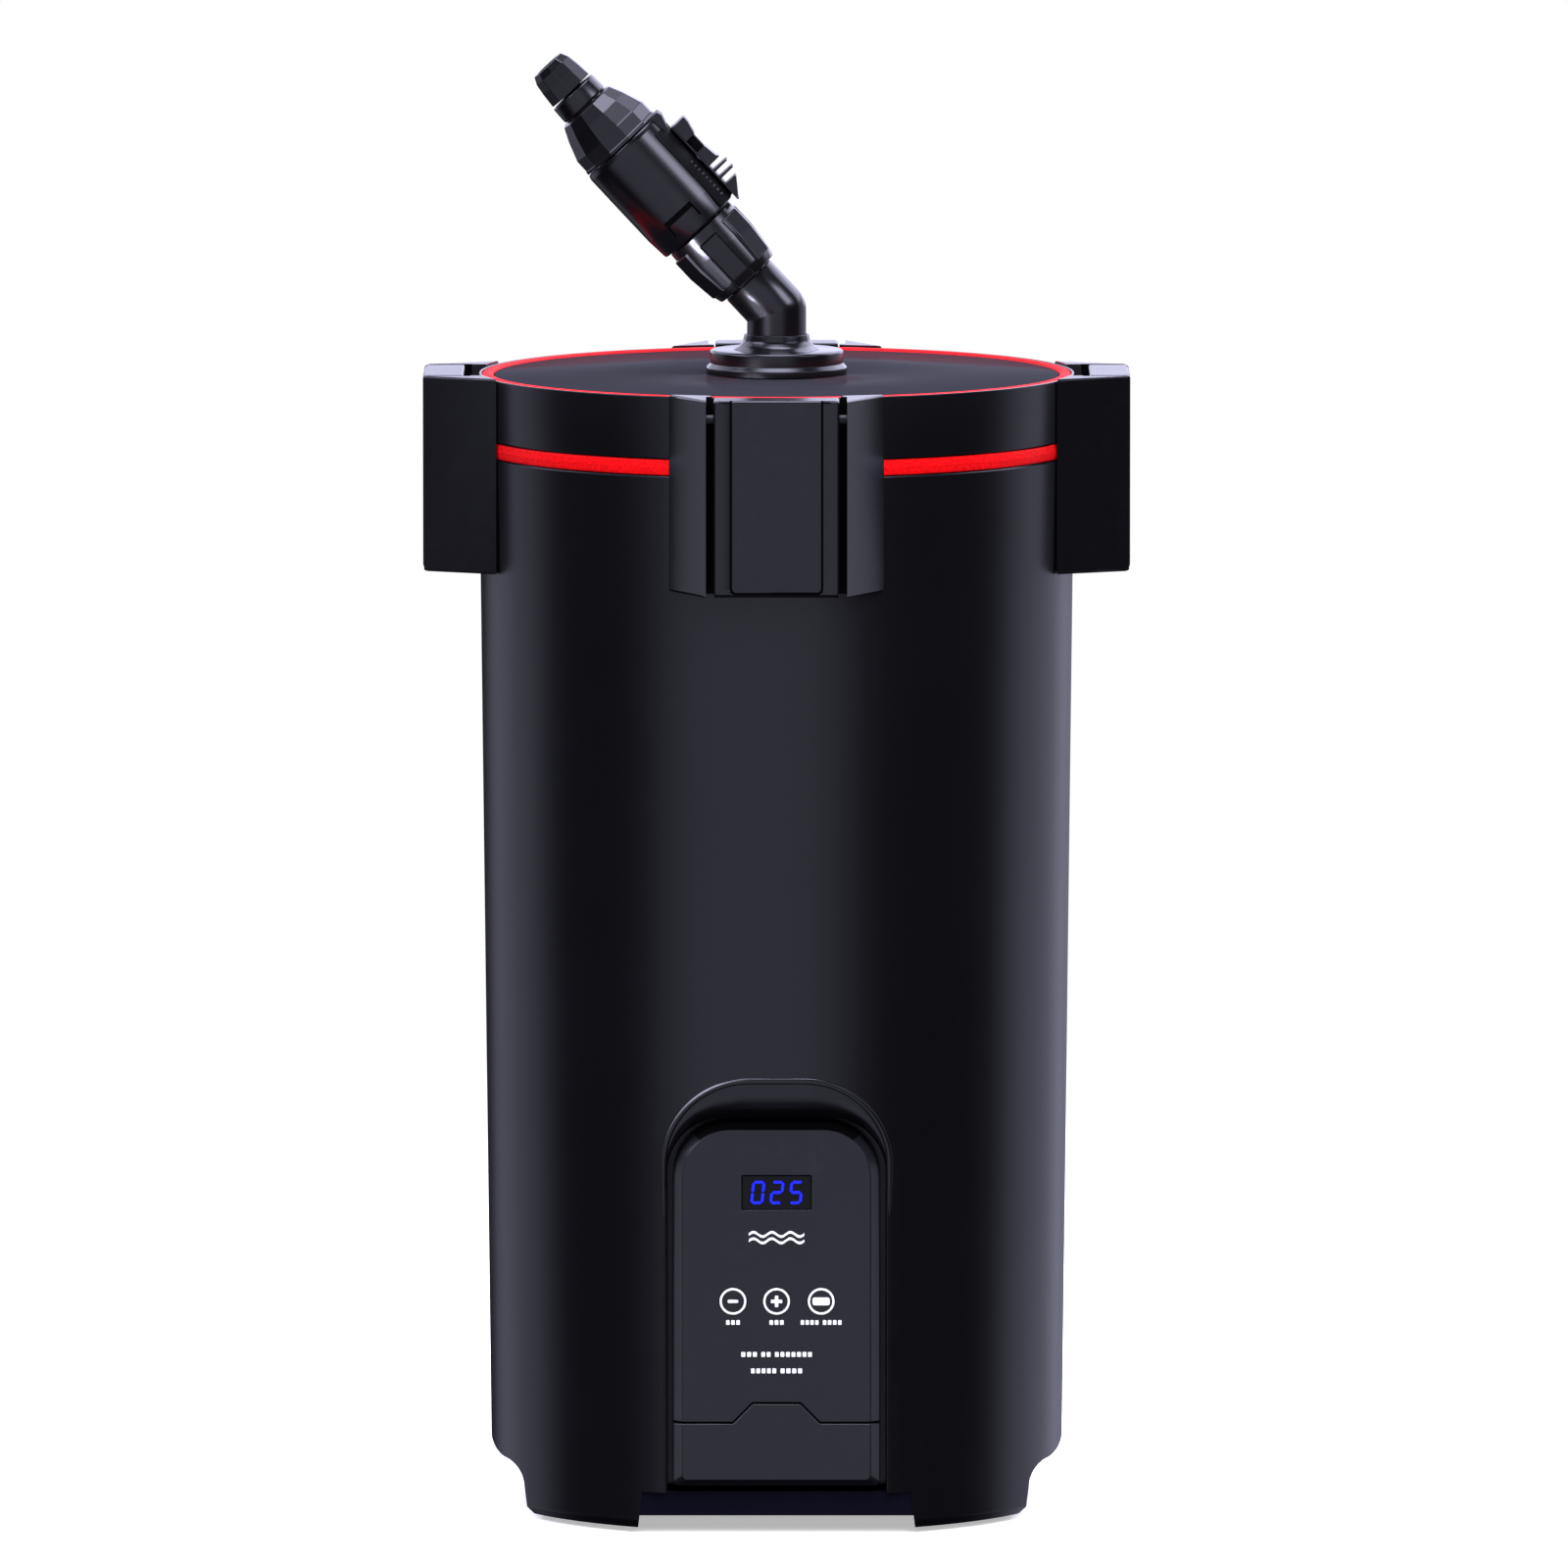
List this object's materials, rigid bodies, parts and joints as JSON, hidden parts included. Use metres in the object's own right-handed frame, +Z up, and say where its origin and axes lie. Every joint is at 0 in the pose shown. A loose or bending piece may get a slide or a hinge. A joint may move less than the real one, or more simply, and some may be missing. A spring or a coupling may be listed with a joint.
{
  "type": "canister filter",
  "caption": "Aquarium canister filter: lidded barrel with latches, swivelling hose tap, tilt-out controller, stacked media baskets and a pump in its base.",
  "frame": {"origin": "on the floor plane, under the centre of the barrel", "axes": "+Z up along the barrel, -Y towards the controller (the front), +X to the right seen from the front"},
  "size_m": [0.287, 0.287, 0.5904],
  "materials": {
    "body_plastic": "satin moulded charcoal plastic",
    "base_plastic": "dark navy moulded plastic",
    "inner_plastic": "black moulded plastic",
    "lid_gloss": "polished charcoal plastic",
    "red_trim": "satin red plastic",
    "red_seal": "red silicone rubber",
    "rubber": "black rubber",
    "steel": "stainless steel",
    "copper": "enamelled copper winding on laminations",
    "magnet": "coated ferrite magnet",
    "impeller_plastic": "natural engineering plastic",
    "tap_plastic": "satin charcoal plastic, slightly glossier than the barrel",
    "ball_plastic": "polished grey plastic",
    "controller_plastic": "fine matt charcoal plastic",
    "display": "dark glossy display window",
    "board": "green circuit board",
    "basket_plastic": "dark grey moulded plastic",
    "handle_plastic": "red moulded plastic",
    "ceramic": "porous unglazed ceramic",
    "coarse_foam": "open-cell blue foam",
    "fine_floss": "white filter floss"
  },
  "bodies": {
    "barrel": {"barrel": "body_plastic", "base_plate": "base_plastic", "foot_front_left": "rubber", "foot_front_right": "rubber", "foot_back_left": "rubber", "foot_back_right": "rubber", "cord_gland": "rubber", "intake_grille": "inner_plastic", "volute": "inner_plastic", "motor_housing": "inner_plastic", "stator": "copper", "bearing_lower": "steel", "bearing_upper": "steel", "outlet_nut": "inner_plastic", "controller_dock": "inner_plastic"},
    "rotor": {"impeller": "impeller_plastic", "rotor_magnet": "magnet", "motor_shaft": "steel"},
    "outlet": {"outlet_elbow": "inner_plastic"},
    "lid": {"lid_shell": "body_plastic", "lid_panel": "lid_gloss", "lid_trim_ring": "red_trim", "rim_seal": "red_seal", "port_collar": "tap_plastic", "latch_bracket_front": "body_plastic", "latch_bracket_right": "body_plastic", "latch_bracket_back": "body_plastic", "latch_bracket_left": "body_plastic", "latch_pin_front": "steel", "latch_pin_right": "steel", "latch_pin_back": "steel", "latch_pin_left": "steel"},
    "latch_front": {"latch_lever_front": "body_plastic"},
    "latch_right": {"latch_lever_right": "body_plastic"},
    "latch_back": {"latch_lever_back": "body_plastic"},
    "latch_left": {"latch_lever_left": "body_plastic"},
    "elbow": {"port_elbow": "tap_plastic", "coupling_socket": "tap_plastic"},
    "release": {"release_tab": "tap_plastic"},
    "tap": {"tap_body": "tap_plastic", "hose_tail": "tap_plastic"},
    "tap_handle": {"tap_lever": "tap_plastic", "tap_ball": "ball_plastic"},
    "nut": {"hose_nut": "tap_plastic"},
    "basket_a": {"basket_lower": "basket_plastic", "media_ceramic": "ceramic"},
    "basket_b": {"basket_middle": "basket_plastic", "media_coarse_sponge": "coarse_foam"},
    "basket_c": {"basket_upper": "basket_plastic", "media_fine_pad": "fine_floss"},
    "handle": {"basket_handle": "handle_plastic"},
    "controller": {"controller_cover": "controller_plastic", "controller_lower_cover": "controller_plastic", "controller_back": "inner_plastic", "display_window": "display", "circuit_board": "board"},
    "minus_button": {"button_minus": "controller_plastic"},
    "plus_button": {"button_plus": "controller_plastic"},
    "mode_button": {"button_mode": "controller_plastic"}
  },
  "joints": [
    {"name": "pump_spin", "type": "hinge", "parent": "barrel", "child": "rotor", "pos_m": [0, 0, 0.17], "axis": [0, 0, 1], "continuous": true},
    {"name": "outlet_swivel", "type": "hinge", "parent": "barrel", "child": "outlet", "pos_m": [0, 0.131, 0.168], "axis": [0, 1, 0], "range_deg": [-90, 90]},
    {"name": "lid_lift", "type": "slide", "parent": "barrel", "child": "lid", "axis": [0, 0, 1], "range_m": [0, 0.6]},
    {"name": "latch_front_swing", "type": "hinge", "parent": "lid", "child": "latch_front", "pos_m": [0, -0.133, 0.455], "axis": [-1, 0, 0], "range_deg": [0, 70]},
    {"name": "latch_right_swing", "type": "hinge", "parent": "lid", "child": "latch_right", "pos_m": [0.133, 0, 0.455], "axis": [0, -1, 0], "range_deg": [0, 70]},
    {"name": "latch_back_swing", "type": "hinge", "parent": "lid", "child": "latch_back", "pos_m": [0, 0.133, 0.455], "axis": [1, 0, 0], "range_deg": [0, 70]},
    {"name": "latch_left_swing", "type": "hinge", "parent": "lid", "child": "latch_left", "pos_m": [-0.133, 0, 0.455], "axis": [0, 1, 0], "range_deg": [0, 70]},
    {"name": "elbow_swivel", "type": "hinge", "parent": "lid", "child": "elbow", "pos_m": [0, 0, 0.488], "axis": [0, 0, 1], "range_deg": [-170, 170]},
    {"name": "release_press", "type": "slide", "parent": "elbow", "child": "release", "axis": [0, 1, 0], "range_m": [0, 0.0012]},
    {"name": "tap_pull_off", "type": "slide", "parent": "elbow", "child": "tap", "axis": [-0.682, 0, 0.7314], "range_m": [0, 0.035]},
    {"name": "tap_turn", "type": "hinge", "parent": "tap", "child": "tap_handle", "pos_m": [-0.04569, 0, 0.537], "axis": [0.7314, 0, 0.682], "range_deg": [0, 90]},
    {"name": "hose_nut_turn", "type": "hinge", "parent": "tap", "child": "nut", "pos_m": [-0.06752, 0, 0.5604], "axis": [-0.682, 0, 0.7314], "continuous": true},
    {"name": "basket_lower_lift", "type": "slide", "parent": "barrel", "child": "basket_a", "axis": [0, 0, 1], "range_m": [0, 0.336]},
    {"name": "basket_middle_lift", "type": "slide", "parent": "barrel", "child": "basket_b", "axis": [0, 0, 1], "range_m": [0, 0.42]},
    {"name": "basket_upper_lift", "type": "slide", "parent": "barrel", "child": "basket_c", "axis": [0, 0, 1], "range_m": [0, 0.504]},
    {"name": "basket_handle_fold", "type": "hinge", "parent": "basket_c", "child": "handle", "pos_m": [0, 0, 0.417], "axis": [1, 0, 0], "range_deg": [0, 90]},
    {"name": "controller_tilt", "type": "hinge", "parent": "barrel", "child": "controller", "pos_m": [0, -0.111, 0.021], "axis": [1, 0, 0], "range_deg": [0, 25]},
    {"name": "minus_press", "type": "slide", "parent": "controller", "child": "minus_button", "axis": [0, 1, 0], "range_m": [0, 0.0006]},
    {"name": "plus_press", "type": "slide", "parent": "controller", "child": "plus_button", "axis": [0, 1, 0], "range_m": [0, 0.0006]},
    {"name": "mode_press", "type": "slide", "parent": "controller", "child": "mode_button", "axis": [0, 1, 0], "range_m": [0, 0.0006]}
  ],
  "couplings": [
    {"joint": "basket_lower_lift", "follows": "lid_lift", "ratio": 0.56},
    {"joint": "basket_middle_lift", "follows": "lid_lift", "ratio": 0.7},
    {"joint": "basket_upper_lift", "follows": "lid_lift", "ratio": 0.84},
    {"joint": "basket_handle_fold", "follows": "lid_lift", "rad_per_m": 2.6177}
  ]
}
